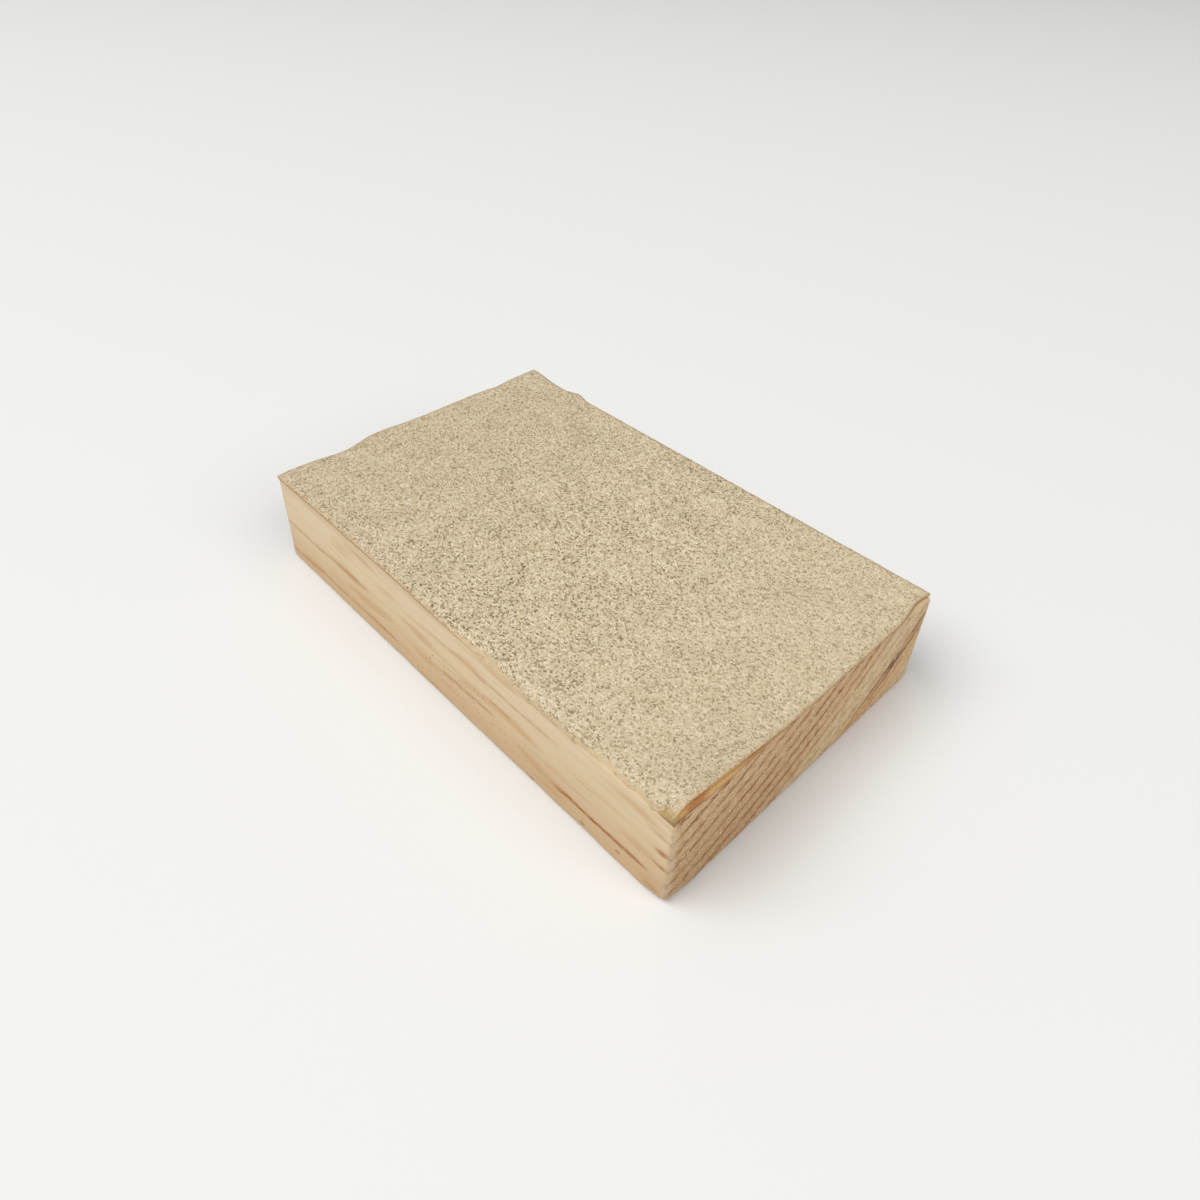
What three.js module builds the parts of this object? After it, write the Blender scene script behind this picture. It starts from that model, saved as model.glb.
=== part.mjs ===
// Hand-made sanding block: an offcut of planed pine with one piece of coated abrasive paper
// glued to its top face.
//
// Millimetres. The origin is at the centre of the face that the block rests on, +Z is up and
// +X runs along the grain. The sheet has worked loose at the +X -Y corner, above the corner of
// the wood that has been knocked round.

import * as THREE from 'three';

// Driving dimensions of the wood.
const LENGTH = 101.6; // X, along the grain
const WIDTH = 63.5; // Y, across the board
const WOOD_THICKNESS = 19.05; // Z, a board planed from one inch

// Layers on the wood, from the bottom up.
const GLUE_THICKNESS = 0.12;
const PAPER_THICKNESS = 0.28;
const RESIN_THICKNESS = 0.1; // the coat of resin that the grains were dropped into
const GRIT_THICKNESS = 0.35; // a mineral of about P60, one grain deep

// Arrises and corners of the wood.
const PLAN_CORNER_RADIUS = 0.5;
const BASE_EDGE_RADIUS = 0.8;
const TOP_EDGE_RADIUS = 0.35;
const KNOCKED_CORNER = new THREE.Vector3(LENGTH / 2, -WIDTH / 2, 0);
const KNOCKED_REACH = 5; // how far from that corner the wood is rounded
const KNOCKED_RISE = 0.45; // how much the corner has lost upwards
const KNOCKED_INSET = 0.25; // and along each side

// The long top arris on the -Y side is worn round, and the sheet bends down over it.
const ARRIS_DROOP = 0.8; // at the edge
const ARRIS_REACH = 2; // width of the worn band
const ARRIS_START = -12; // X where the wear begins
const ARRIS_FULL = 12; // X where it has reached its full depth

// The glue stops short of the edges of wood and sheet, and of the worn band. Under the loose
// corner it stands proud, because it pulled up with the sheet as it dried.
const GLUE_MARGIN = 0.6;
const GLUE_SHARE_OF_GAP = 0.65;

// The loose corner of the sheet, lifted along the +X edge.
const LIFT_HEIGHT = 2.4; // highest gap between sheet and wood
const LIFT_PEAK = 3.5; // distance of that gap from the -Y edge
const LIFT_RUN = 24; // from there to where the sheet is down again
const LIFT_REACH = 13; // how far in from the +X edge the sheet has come away
const LIFT_SIDE_HEIGHT = 1.7; // the gap at the -Y edge
const LIFT_SIDE_REACH = 4.5; // and how far in it goes there

// How each hand-cut edge of the sheet wanders from the edge of the wood, as soft bumps:
// at is the place along the edge, reach the half-width, and out how far it stands out.
const MINUS_X_CUT = [
  { at: 21, reach: 3, out: -0.5 },
  { at: -9, reach: 6, out: 0.8 },
  { at: -17.5, reach: 4, out: -0.9 },
  { at: -29, reach: 4, out: 0.3 },
];
const PLUS_X_CUT = [
  { at: 28.5, reach: 4.2, out: -1 },
  { at: -32, reach: 4, out: -0.45 },
];
const MINUS_Y_CUT = [{ at: 22, reach: 22, out: 0.2 }];
const PLUS_Y_CUT = [
  { at: -50, reach: 4.5, out: 0.85 },
  { at: -40, reach: 3, out: -0.15 },
  { at: -35.5, reach: 2.2, out: 0.9 },
];
const CUT_DEPTH = 4; // how far in from an edge the sheet's grid follows its cut

// Fineness of the solids.
const CORNER_STEPS = 4;
const EDGE_STEPS = 4;

const WOOD_COLOUR = '#cfb28c';
const GLUE_COLOUR = '#dcb878';
const PAPER_COLOUR = '#b8874f';
const RESIN_COLOUR = '#d9bb8c';
const GRIT_COLOUR = '#c8b996';

const clamp01 = (value) => THREE.MathUtils.clamp(value, 0, 1);

function cutOffset(cut, along) {
  const offsets = cut.map(({ at, reach, out }) => out * Math.exp(-(((along - at) / reach) ** 2)));
  return offsets.reduce((sum, offset) => sum + offset, 0);
}

// How far the worn arris lies below the flat top at a point seen in plan.
function arrisDroop(x, y) {
  const worn = THREE.MathUtils.smoothstep(x, ARRIS_START, ARRIS_FULL);
  const intoBand = Math.max(0, ARRIS_REACH - (y + WIDTH / 2)) / ARRIS_REACH;
  return ARRIS_DROOP * worn * intoBand ** 2;
}

// How far the loose corner stands off the wood at a point seen in plan.
function cornerLift(x, y) {
  const fromSide = y + WIDTH / 2;
  const towardsPeak = THREE.MathUtils.smoothstep(fromSide, 0, LIFT_PEAK);
  const height = THREE.MathUtils.lerp(LIFT_SIDE_HEIGHT, LIFT_HEIGHT, towardsPeak);
  const reach = THREE.MathUtils.lerp(LIFT_SIDE_REACH, LIFT_REACH, towardsPeak);
  const pastPeak = clamp01((fromSide - LIFT_PEAK) / LIFT_RUN);
  const alongEdge = Math.cos((Math.PI / 2) * pastPeak) ** 2;
  const inFromEdge = clamp01(1 - (LENGTH / 2 - x) / reach);
  return height * alongEdge * inFromEdge ** 2;
}

// Lines across the block, from start through runs of even steps.
function gridLines(start, runs) {
  const lines = [start];
  for (const { to, steps } of runs) {
    const from = lines[lines.length - 1];
    for (let step = 1; step <= steps; step += 1) {
      lines.push(THREE.MathUtils.lerp(from, to, step / steps));
    }
  }
  return lines;
}

// The lines are closer together at the cut edges, the worn arris and the loose corner.
const GRID_X = gridLines(-LENGTH / 2, [
  { to: -30, steps: 8 },
  { to: 34, steps: 12 },
  { to: 46, steps: 5 },
  { to: LENGTH / 2, steps: 4 },
]);
const GRID_Y = gridLines(-WIDTH / 2, [
  { to: -WIDTH / 2 + ARRIS_REACH, steps: 2 },
  { to: -WIDTH / 2 + 2 * ARRIS_REACH, steps: 1 },
  { to: -4, steps: 6 },
  { to: WIDTH / 2, steps: 8 },
]);

// A closed solid from a stack of rings with the same number of points, each ring running
// anticlockwise seen from +Z. The first and last rings are capped from their centres.
function solidFromRings(rings) {
  const count = rings[0].length;
  const positions = rings.flat().flatMap((point) => [point.x, point.y, point.z]);
  const indices = [];
  for (let ring = 0; ring + 1 < rings.length; ring += 1) {
    for (let i = 0; i < count; i += 1) {
      const a = ring * count + i;
      const b = ring * count + ((i + 1) % count);
      indices.push(a, b, b + count, a, b + count, a + count);
    }
  }
  const first = positions.length / 3;
  const last = first + 1;
  const topRing = (rings.length - 1) * count;
  positions.push(0, 0, rings[0][0].z, 0, 0, rings[rings.length - 1][0].z);
  for (let i = 0; i < count; i += 1) {
    const next = (i + 1) % count;
    indices.push(first, next, i);
    indices.push(last, topRing + i, topRing + next);
  }
  return closedGeometry(positions, indices);
}

function closedGeometry(positions, indices) {
  const geometry = new THREE.BufferGeometry();
  geometry.setAttribute('position', new THREE.Float32BufferAttribute(positions, 3));
  geometry.setIndex(indices);
  geometry.computeVertexNormals();
  return geometry;
}

// Where the grid lines fall between the two ends of a side, as fractions of its length.
function fractions(lines) {
  const from = lines[0];
  const span = lines[lines.length - 1] - from;
  return lines.slice(1, -1).map((line) => (line - from) / span);
}

const reversed = (stops) => stops.map((stop) => 1 - stop).reverse();
const ALONG_X = fractions(GRID_X);
const ALONG_Y = fractions(GRID_Y);

// One level ring of the block: a rectangle drawn in by inset, with round corners.
function blockRing(inset, z) {
  const radius = PLAN_CORNER_RADIUS + inset;
  const centreX = LENGTH / 2 - inset - radius;
  const centreY = WIDTH / 2 - inset - radius;
  const corners = [
    { x: centreX, y: centreY, nextSide: reversed(ALONG_X) },
    { x: -centreX, y: centreY, nextSide: reversed(ALONG_Y) },
    { x: -centreX, y: -centreY, nextSide: ALONG_X },
    { x: centreX, y: -centreY, nextSide: ALONG_Y },
  ];
  const quarter = Math.PI / 2;
  const arcs = corners.map(({ x, y }, i) => {
    const arc = new THREE.EllipseCurve(x, y, radius, radius, i * quarter, (i + 1) * quarter);
    return arc.getPoints(CORNER_STEPS);
  });
  const ring = arcs.flatMap((arc, i) => {
    const from = arc[arc.length - 1];
    const to = arcs[(i + 1) % arcs.length][0];
    const side = corners[i].nextSide.map((stop) => from.clone().lerp(to, stop));
    return [...arc, ...side];
  });
  return ring.map((point) => new THREE.Vector3(point.x, point.y, z));
}

function roundKnockedCorner(point) {
  const nearness = clamp01(1 - (point.distanceTo(KNOCKED_CORNER) / KNOCKED_REACH) ** 2);
  const loss = nearness ** 2;
  point.x -= KNOCKED_INSET * loss;
  point.y += KNOCKED_INSET * loss;
  point.z += KNOCKED_RISE * loss;
}

// Rings that turn a quarter round an edge: from a level face to an upright one.
function roundedEdge(radius, ringAt) {
  return Array.from({ length: EDGE_STEPS + 1 }, (_, i) => {
    const turn = ((i / EDGE_STEPS) * Math.PI) / 2;
    return ringAt(radius * (1 - Math.sin(turn)), radius * (1 - Math.cos(turn)));
  });
}

function woodGeometry() {
  const rings = [
    ...[14, 7, 3].map((inset) => blockRing(inset, 0)),
    ...roundedEdge(BASE_EDGE_RADIUS, (inset, rise) => blockRing(inset, rise)),
    ...[3, 6, 11].map((z) => blockRing(0, z)),
    ...roundedEdge(TOP_EDGE_RADIUS, (inset, drop) => blockRing(inset, WOOD_THICKNESS - drop)).reverse(),
    ...[ARRIS_REACH / 2, ARRIS_REACH, 8].map((inset) => blockRing(inset, WOOD_THICKNESS)),
  ];
  for (const point of rings.flat()) {
    if (point.z > WOOD_THICKNESS / 2) {
      point.z -= arrisDroop(point.x, point.y);
    }
    roundKnockedCorner(point);
  }
  return solidFromRings(rings);
}

// A grid point of the sheet's underside, moved so that the grid's edge follows the cuts.
function sheetPoint(x, y) {
  const nearness = (distance) => clamp01(1 - distance / CUT_DEPTH);
  const moveX = nearness(LENGTH / 2 - x) * cutOffset(PLUS_X_CUT, y)
    - nearness(LENGTH / 2 + x) * cutOffset(MINUS_X_CUT, y);
  const moveY = nearness(WIDTH / 2 - y) * cutOffset(PLUS_Y_CUT, x)
    - nearness(WIDTH / 2 + y) * cutOffset(MINUS_Y_CUT, x);
  const height = WOOD_THICKNESS + GLUE_THICKNESS + cornerLift(x, y) - arrisDroop(x, y);
  return new THREE.Vector3(x + moveX, y + moveY, height);
}

// A closed slab over a grid of places in plan: bottomAt and topAt give its two surfaces there.
function slabGeometry(xLines, yLines, bottomAt, topAt) {
  const positions = [];
  for (const pointAt of [bottomAt, topAt]) {
    for (const y of yLines) {
      for (const x of xLines) {
        positions.push(...pointAt(x, y));
      }
    }
  }
  const columns = xLines.length;
  const rows = yLines.length;
  const upper = columns * rows;
  const indices = [];
  const wall = (a, b) => indices.push(a, b, b + upper, a, b + upper, a + upper);
  for (let row = 0; row + 1 < rows; row += 1) {
    for (let column = 0; column + 1 < columns; column += 1) {
      const a = row * columns + column;
      const b = a + 1;
      const c = b + columns;
      const d = a + columns;
      indices.push(a, c, b, a, d, c);
      indices.push(a + upper, b + upper, c + upper, a + upper, c + upper, d + upper);
    }
    wall((row + 1) * columns, row * columns);
    wall((row + 1) * columns - 1, (row + 2) * columns - 1);
  }
  for (let column = 0; column + 1 < columns; column += 1) {
    wall(column, column + 1);
    wall((rows - 1) * columns + column + 1, (rows - 1) * columns + column);
  }
  return closedGeometry(positions, indices);
}

// One layer of the sheet, between two heights above its underside.
function sheetLayerGeometry(from, to) {
  const pointAt = (height) => (x, y) => {
    const point = sheetPoint(x, y);
    return [point.x, point.y, point.z + height];
  };
  return slabGeometry(GRID_X, GRID_Y, pointAt(from), pointAt(to));
}

// The dried adhesive, on the flat of the top. Its outline follows the sheet's cuts.
function glueGeometry() {
  const endX = LENGTH / 2 - GLUE_MARGIN;
  const startY = -WIDTH / 2 + ARRIS_REACH + GLUE_MARGIN;
  const endY = WIDTH / 2 - GLUE_MARGIN;
  const within = (lines, low, high) => [low, ...lines.filter((at) => at > low && at < high), high];
  const pointAt = (thicknessAt) => (x, y) => {
    const onSheet = sheetPoint(x, y);
    const plan = [
      THREE.MathUtils.clamp(onSheet.x, -endX, endX),
      THREE.MathUtils.clamp(onSheet.y, startY, endY),
    ];
    return [...plan, WOOD_THICKNESS + thicknessAt(x, y)];
  };
  const topAt = pointAt((x, y) => GLUE_THICKNESS + GLUE_SHARE_OF_GAP * cornerLift(x, y));
  return slabGeometry(within(GRID_X, -endX, endX), within(GRID_Y, startY, endY), pointAt(() => 0), topAt);
}

function piece(name, geometry, colour, roughness) {
  const material = new THREE.MeshStandardMaterial({ color: colour, roughness, metalness: 0 });
  const mesh = new THREE.Mesh(geometry, material);
  mesh.name = name;
  return mesh;
}

const paperTop = PAPER_THICKNESS;
const resinTop = paperTop + RESIN_THICKNESS;
const gritTop = resinTop + GRIT_THICKNESS;

const sheet = new THREE.Group();
sheet.add(piece('paper_backing', sheetLayerGeometry(0, paperTop), PAPER_COLOUR, 0.85));
sheet.add(piece('resin_make_coat', sheetLayerGeometry(paperTop, resinTop), RESIN_COLOUR, 0.6));
sheet.add(piece('grit_coat', sheetLayerGeometry(resinTop, gritTop), GRIT_COLOUR, 0.95));

const sandingBlock = new THREE.Group();
sandingBlock.add(piece('wood_block', woodGeometry(), WOOD_COLOUR, 0.75));
sandingBlock.add(piece('glue_film', glueGeometry(), GLUE_COLOUR, 0.45));
sandingBlock.add(sheet);

export default sandingBlock;
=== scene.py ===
"""A hand-made sanding block: its looks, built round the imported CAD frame.

The block is a planed pine offcut with a piece of coated abrasive paper glued to its top. Every
visible piece is rebuilt here as a fine mesh with a procedural material. Shapes are worked out in
millimetres, in the CAD frame, and turned into metres where a mesh is made. The sheet's cut edges,
its loose corner, the worn arris and the knocked corner follow the same formulas as the CAD solids.
"""

import math

import bpy
import numpy as np
from mathutils import Matrix, Vector


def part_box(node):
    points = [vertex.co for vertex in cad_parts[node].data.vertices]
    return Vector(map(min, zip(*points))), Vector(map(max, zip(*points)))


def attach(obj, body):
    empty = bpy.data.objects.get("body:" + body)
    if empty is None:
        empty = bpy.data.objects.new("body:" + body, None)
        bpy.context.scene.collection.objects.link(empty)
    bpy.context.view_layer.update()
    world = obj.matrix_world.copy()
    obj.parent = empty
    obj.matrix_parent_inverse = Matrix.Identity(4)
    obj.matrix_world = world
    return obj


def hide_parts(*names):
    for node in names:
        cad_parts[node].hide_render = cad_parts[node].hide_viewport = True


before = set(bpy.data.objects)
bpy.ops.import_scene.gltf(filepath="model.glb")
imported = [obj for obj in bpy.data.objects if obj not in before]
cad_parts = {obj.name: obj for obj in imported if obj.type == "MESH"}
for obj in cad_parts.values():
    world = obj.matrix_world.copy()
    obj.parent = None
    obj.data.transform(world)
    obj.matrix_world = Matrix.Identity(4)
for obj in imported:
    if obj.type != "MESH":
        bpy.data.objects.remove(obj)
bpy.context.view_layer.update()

MM = 0.001  # metres in a millimetre


# ---------------------------------------------------------------- sizes from the frame, in mm

def box_mm(node):
    """The low and high corners of a CAD node's box."""
    low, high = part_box(node)
    return np.array(low) / MM, np.array(high) / MM


WOOD_HIGH = box_mm("wood_block")[1]
PAPER_LOW = box_mm("paper_backing")[0]
RESIN_LOW, RESIN_HIGH = box_mm("resin_make_coat")
GRIT_LOW, GRIT_HIGH = box_mm("grit_coat")

HALF_LENGTH = WOOD_HIGH[0]
HALF_WIDTH = WOOD_HIGH[1]
WOOD_TOP = WOOD_HIGH[2]
PAPER_THICKNESS = RESIN_LOW[2] - PAPER_LOW[2]
RESIN_THICKNESS = GRIT_LOW[2] - RESIN_LOW[2]
GRIT_THICKNESS = GRIT_HIGH[2] - RESIN_HIGH[2]

# Wear on the wood, as in the CAD source.
PLAN_CORNER_RADIUS = 0.5
BASE_EDGE_RADIUS = 0.8
TOP_EDGE_RADIUS = 0.35
KNOCKED_CORNER = np.array([HALF_LENGTH, -HALF_WIDTH, 0.0])
KNOCKED_REACH = 5.0
KNOCKED_RISE = 0.45
KNOCKED_INSET = 0.25
ARRIS_DROOP = 0.8
ARRIS_REACH = 2.0
ARRIS_START = -12.0
ARRIS_FULL = 12.0

# The sheet's underside where it is flat. The frame's box has it at its lowest, down the worn arris.
SHEET_LEVEL = PAPER_LOW[2] + ARRIS_DROOP

# The loose corner of the sheet, as in the CAD source.
LIFT_HEIGHT = 2.4
LIFT_PEAK = 3.5
LIFT_RUN = 24.0
LIFT_REACH = 13.0
LIFT_SIDE_HEIGHT = 1.7
LIFT_SIDE_REACH = 4.5

# The hand-cut edges as soft bumps: place along the edge, half-width, how far out.
MINUS_X_CUT = [(21, 3, -0.5), (-9, 6, 0.8), (-17.5, 4, -0.9), (-29, 4, 0.3)]
PLUS_X_CUT = [(28.5, 4.2, -1), (-32, 4, -0.45)]
MINUS_Y_CUT = [(22, 22, 0.2)]
PLUS_Y_CUT = [(-50, 4.5, 0.85), (-40, 3, -0.15), (-35.5, 2.2, 0.9)]
CUT_DEPTH = 4.0

# Along the worn arris the sheet's edge is rubbed back, and pressed down on the wood.
EDGE_RUBBED_BACK = 0.35
EDGE_PRESSED_DOWN = 0.1

# What is left there of each layer's thickness.
PAPER_LEFT = 0.2
RESIN_LEFT = 0.2
GRIT_LEFT = 0.15

# Growth rings: the pith lies outside the board, above the -Y side, and the grain climbs a little along +X.
PITH_Y = -66.0
PITH_Z = 126.0
GRAIN_SLOPE = 0.024
FIRST_RING = 113.3  # radius of the ring that leaves the -Y side just under the sheet
RING_SPACING = 3.1
LOWER_EDGE_RING = 131.0  # radius at the lower -Y edge
DARK_RINGS = 147.4  # radius midway between the two darkest lines
DARK_PAIR_HALF_GAP = 0.95
DARK_PATCH = (24.0, 9.5)  # Y and Z of the place where they run together
LAST_RING = 160.0  # radius at the far lower edge

# Where a ring shows as a line on the planed -Y side: which ring, from X, to X, how strongly.
SHOWN_LINES = [
    (0, 46, 52, 0.3),
    (1, 45.5, 52, 0.35), (1, 8, 30, 0.35),
    (2, 46.5, 52, 0.9), (2, 11, 19, 0.4), (2, -54, -20, 0.4),
    (3, 46.5, 52, 0.9), (3, -1, 15, 0.45),
    (4, 27, 48, 1.0), (4, -54, -13, 0.4),
    (5, 45, 51, 0.5),
]
# Small dark flecks near its lower edge, as X and Z.
FLECKS = [(22.8, 0.9), (34.2, 1.7), (41.5, 2.8)]


# ---------------------------------------------------------------- number helpers

def smoothstep(value, low, high):
    t = np.clip((value - low) / (high - low), 0, 1)
    return t * t * (3 - 2 * t)


def random_lattice(x, y, z, seed):
    """A repeatable number from 0 to 1 for each whole-number point, from large odd hash multipliers."""
    mask = np.uint64(0xFFFFFFFF)
    mixed = (
        x.astype(np.int64).astype(np.uint64) * np.uint64(374761393)
        + y.astype(np.int64).astype(np.uint64) * np.uint64(668265263)
        + z.astype(np.int64).astype(np.uint64) * np.uint64(2147483647)
        + np.uint64(seed * 974634777)
    ) & mask
    mixed = ((mixed ^ (mixed >> np.uint64(13))) * np.uint64(1274126177)) & mask
    mixed = ((mixed ^ (mixed >> np.uint64(16))) * np.uint64(2246822519)) & mask
    return (mixed >> np.uint64(8)).astype(float) / float(1 << 24)


def smooth_noise(points, size, seed=0):
    """Noise from -1 to 1 that varies over size mm. size is one number, or one for each axis."""
    scaled = np.asarray(points, float) / np.asarray(size, float)
    cell = np.floor(scaled)
    t = scaled - cell
    t = t * t * (3 - 2 * t)
    total = np.zeros(len(scaled))
    for dx in (0, 1):
        for dy in (0, 1):
            for dz in (0, 1):
                weight = (
                    np.where(dx, t[:, 0], 1 - t[:, 0])
                    * np.where(dy, t[:, 1], 1 - t[:, 1])
                    * np.where(dz, t[:, 2], 1 - t[:, 2])
                )
                total += weight * random_lattice(cell[:, 0] + dx, cell[:, 1] + dy, cell[:, 2] + dz, seed)
    return 2 * total - 1


def spread(start, end, spacing):
    """Evenly spaced places from start to end, no further apart than spacing."""
    return np.linspace(start, end, int(math.ceil(abs(end - start) / spacing)) + 1)


# ---------------------------------------------------------------- the shapes' formulas

def cut_offset(cut, along):
    """How far out a hand-cut edge stands at each place along it."""
    return sum(out * np.exp(-(((along - at) / reach) ** 2)) for at, reach, out in cut)


def arris_droop(x, y):
    """How far the worn arris lies below the flat top."""
    worn = smoothstep(x, ARRIS_START, ARRIS_FULL)
    into_band = np.maximum(0, ARRIS_REACH - (y + HALF_WIDTH)) / ARRIS_REACH
    return ARRIS_DROOP * worn * into_band**2


def corner_lift(x, y):
    """How far the loose corner stands off the wood."""
    from_side = y + HALF_WIDTH
    towards_peak = smoothstep(from_side, 0, LIFT_PEAK)
    height = LIFT_SIDE_HEIGHT + (LIFT_HEIGHT - LIFT_SIDE_HEIGHT) * towards_peak
    reach = LIFT_SIDE_REACH + (LIFT_REACH - LIFT_SIDE_REACH) * towards_peak
    past_peak = np.clip((from_side - LIFT_PEAK) / LIFT_RUN, 0, 1)
    along_edge = np.cos(math.pi / 2 * past_peak) ** 2
    in_from_edge = np.clip(1 - (HALF_LENGTH - x) / reach, 0, 1)
    return height * along_edge * in_from_edge**2


def sheet_points(x, y):
    """The sheet's underside: grid points moved so that the grid's edge follows the cuts."""
    def nearness(distance):
        return np.clip(1 - distance / CUT_DEPTH, 0, 1)

    move_x = nearness(HALF_LENGTH - x) * cut_offset(PLUS_X_CUT, y)
    move_x = move_x - nearness(HALF_LENGTH + x) * cut_offset(MINUS_X_CUT, y)
    move_y = nearness(HALF_WIDTH - y) * cut_offset(PLUS_Y_CUT, x)
    move_y = move_y - nearness(HALF_WIDTH + y) * cut_offset(MINUS_Y_CUT, x)
    rubbed = rubbed_edge(x, y)
    move_y = move_y + EDGE_RUBBED_BACK * rubbed * np.clip(1 - (HALF_WIDTH + y), 0, 1)
    height = SHEET_LEVEL + corner_lift(x, y) - arris_droop(x, y) - EDGE_PRESSED_DOWN * rubbed
    return np.stack([x + move_x, y + move_y, height], axis=-1)


def from_pith(points):
    """(distance from the pith, distance round it), wandering a little as grain does."""
    x, y, z = points.T
    across = y - PITH_Y
    down = PITH_Z - z - GRAIN_SLOPE * (HALF_LENGTH - x)
    radius = np.hypot(across, down)
    wander = 0.2 * smooth_noise(points, (30, 9, 9), seed=3) + 0.1 * smooth_noise(points, (11, 3, 3), seed=4)
    return radius + wander, np.arctan2(across, down) * FIRST_RING


def latewood(radius):
    """1 in the dense dark wood that ends each year, 0 in the soft pale wood."""
    year = ((radius - FIRST_RING) / RING_SPACING) % 1
    return np.maximum(smoothstep(year, 0.7, 0.96), 1 - smoothstep(year, 0.0, 0.15))


def line_strength(points, radius):
    """How strongly the ring at each point shows on the -Y side."""
    x, y = points[:, 0], points[:, 1]
    ring = np.round((radius - FIRST_RING) / RING_SPACING)
    strength = np.zeros(len(points))
    for number, start, end, amount in SHOWN_LINES:
        along = smoothstep(x, start, start + 3) * (1 - smoothstep(x, end - 3, end))
        strength += amount * along * (ring == number) * (y < 0)
    return strength


def edge_distance(x, y):
    """Distance from the nearest edge of the sheet, before it is cut."""
    return np.minimum(HALF_LENGTH - np.abs(x), HALF_WIDTH - np.abs(y))


def rubbed_edge(x, y):
    """1 where the worn arris has rubbed the sheet thin and bare, 0 where it is whole."""
    flat = np.stack([x.ravel(), y.ravel(), 0 * x.ravel()], axis=-1)
    ragged = 0.4 * smooth_noise(flat, 4.5, seed=13) + 0.35 * smooth_noise(flat, 1.5, seed=11)
    ragged = ragged + 0.3 * smooth_noise(flat, 0.6, seed=12)
    along = smoothstep(x, -4, 14)
    edge = along * (1 - smoothstep(y + HALF_WIDTH + ragged.reshape(x.shape), 0.0, 0.8))
    from_tip = np.hypot(HALF_LENGTH - x, HALF_WIDTH + y)
    return np.maximum(edge, 0.3 * (1 - smoothstep(from_tip, 1.0, 2.2)))


CREASE_LENGTH = 3.6  # along the -Y edge, back from the loose corner
CREASE_DEPTH = 0.9  # across the sheet


def bare_crease(x, y):
    """1 in the small triangle at the loose corner where the grains have cracked off, else 0."""
    past_start = x - (HALF_LENGTH - CREASE_LENGTH)
    depth = np.minimum(0.6 * past_start, CREASE_DEPTH)
    inside = (1 - smoothstep(y + HALF_WIDTH - depth, -0.3, 0.3)) * smoothstep(past_start, 0, 0.6)
    return inside * (1 - 0.5 * smoothstep(x, HALF_LENGTH - 2.0, HALF_LENGTH - 0.6))


# ---------------------------------------------------------------- mesh helpers

def make_mesh(name, points, faces, smooth=True):
    """A mesh object from points in mm."""
    mesh = bpy.data.meshes.new(name)
    mesh.from_pydata((np.asarray(points) * MM).tolist(), [], np.asarray(faces).tolist())
    mesh.polygons.foreach_set("use_smooth", [smooth] * len(mesh.polygons))
    mesh.update()
    piece = bpy.data.objects.new(name, mesh)
    bpy.context.scene.collection.objects.link(piece)
    return piece


def store(piece, name, values):
    """Keeps one number for each vertex, for the material to read."""
    layer = piece.data.attributes.new(name, "FLOAT", "POINT")
    layer.data.foreach_set("value", np.asarray(values, np.float32))


def ring_faces(ring_count, per_ring):
    """Quads between neighbouring rings of points."""
    ring, i = np.meshgrid(np.arange(ring_count - 1), np.arange(per_ring), indexing="ij")
    a = ring * per_ring + i
    b = ring * per_ring + (i + 1) % per_ring
    return np.stack([a, b, b + per_ring, a + per_ring], axis=-1).reshape(-1, 4)


def slab(lower, upper):
    """A closed slab between two grids of points: (points, faces), the lower points first."""
    rows, columns = lower.shape[:2]
    count = rows * columns
    index = np.arange(count).reshape(rows, columns)
    a, b = index[:-1, :-1].ravel(), index[:-1, 1:].ravel()
    c, d = index[1:, 1:].ravel(), index[1:, :-1].ravel()
    bottom = np.stack([a, d, c, b], axis=-1)
    top = np.stack([a, b, c, d], axis=-1) + count
    rim = np.concatenate([index[0, :-1], index[:-1, -1], index[-1, :0:-1], index[:0:-1, 0]])
    after = np.roll(rim, -1)
    wall = np.stack([rim, after, after + count, rim + count], axis=-1)
    points = np.concatenate([lower.reshape(-1, 3), upper.reshape(-1, 3)])
    return points, np.concatenate([bottom, top, wall])


# ---------------------------------------------------------------- material helper

def srgb(red, green, blue):
    """A colour given in 0 to 255 screen values, as the linear colour that shaders take."""
    def linear(value):
        value /= 255
        return value / 12.92 if value <= 0.04045 else ((value + 0.055) / 1.055) ** 2.4

    return (linear(red), linear(green), linear(blue), 1.0)


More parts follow.
